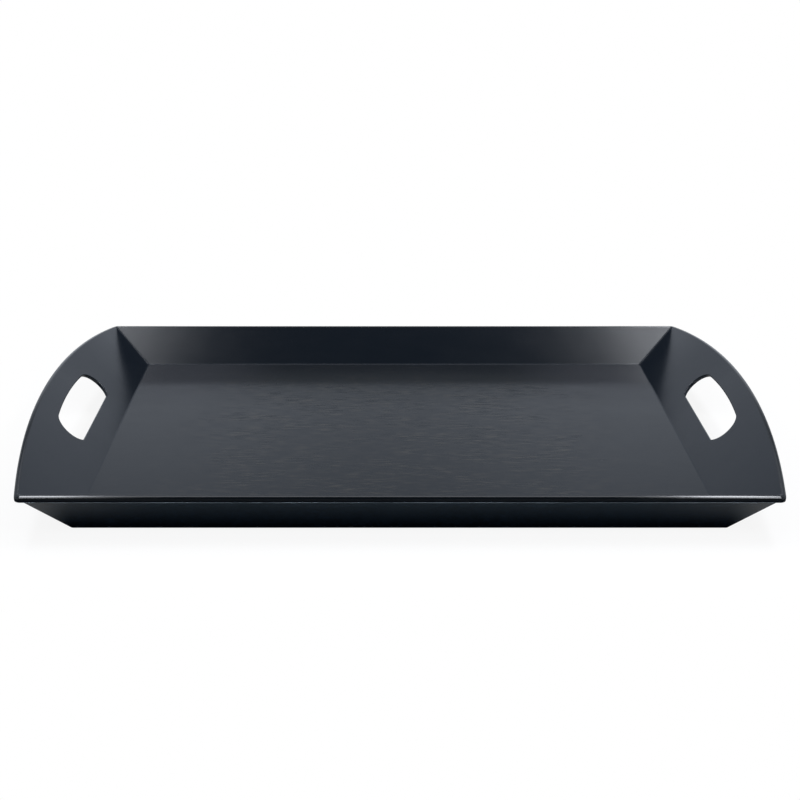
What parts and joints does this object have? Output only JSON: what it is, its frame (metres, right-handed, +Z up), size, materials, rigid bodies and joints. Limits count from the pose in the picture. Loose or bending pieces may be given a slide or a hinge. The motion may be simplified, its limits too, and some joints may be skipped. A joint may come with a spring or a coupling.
{
  "type": "serving tray",
  "caption": "Rectangular moulded plastic serving tray with flared mitred walls, arched ends with grip openings, an overhanging rim and non-slip feet.",
  "frame": {"origin": "on the supporting surface, under the middle of the tray", "axes": "+X along the tray's length towards the right-hand grip, +Y towards the back wall, +Z up"},
  "size_m": [0.5038, 0.3262, 0.0463],
  "materials": {
    "moulded_plastic": "satin black with a faint blue-grey cast",
    "foot_rubber": "matt"
  },
  "bodies": {
    "root": {"tray_body": "moulded_plastic", "foot_front_left": "foot_rubber", "foot_front_right": "foot_rubber", "foot_back_left": "foot_rubber", "foot_back_right": "foot_rubber"}
  },
  "joints": []
}
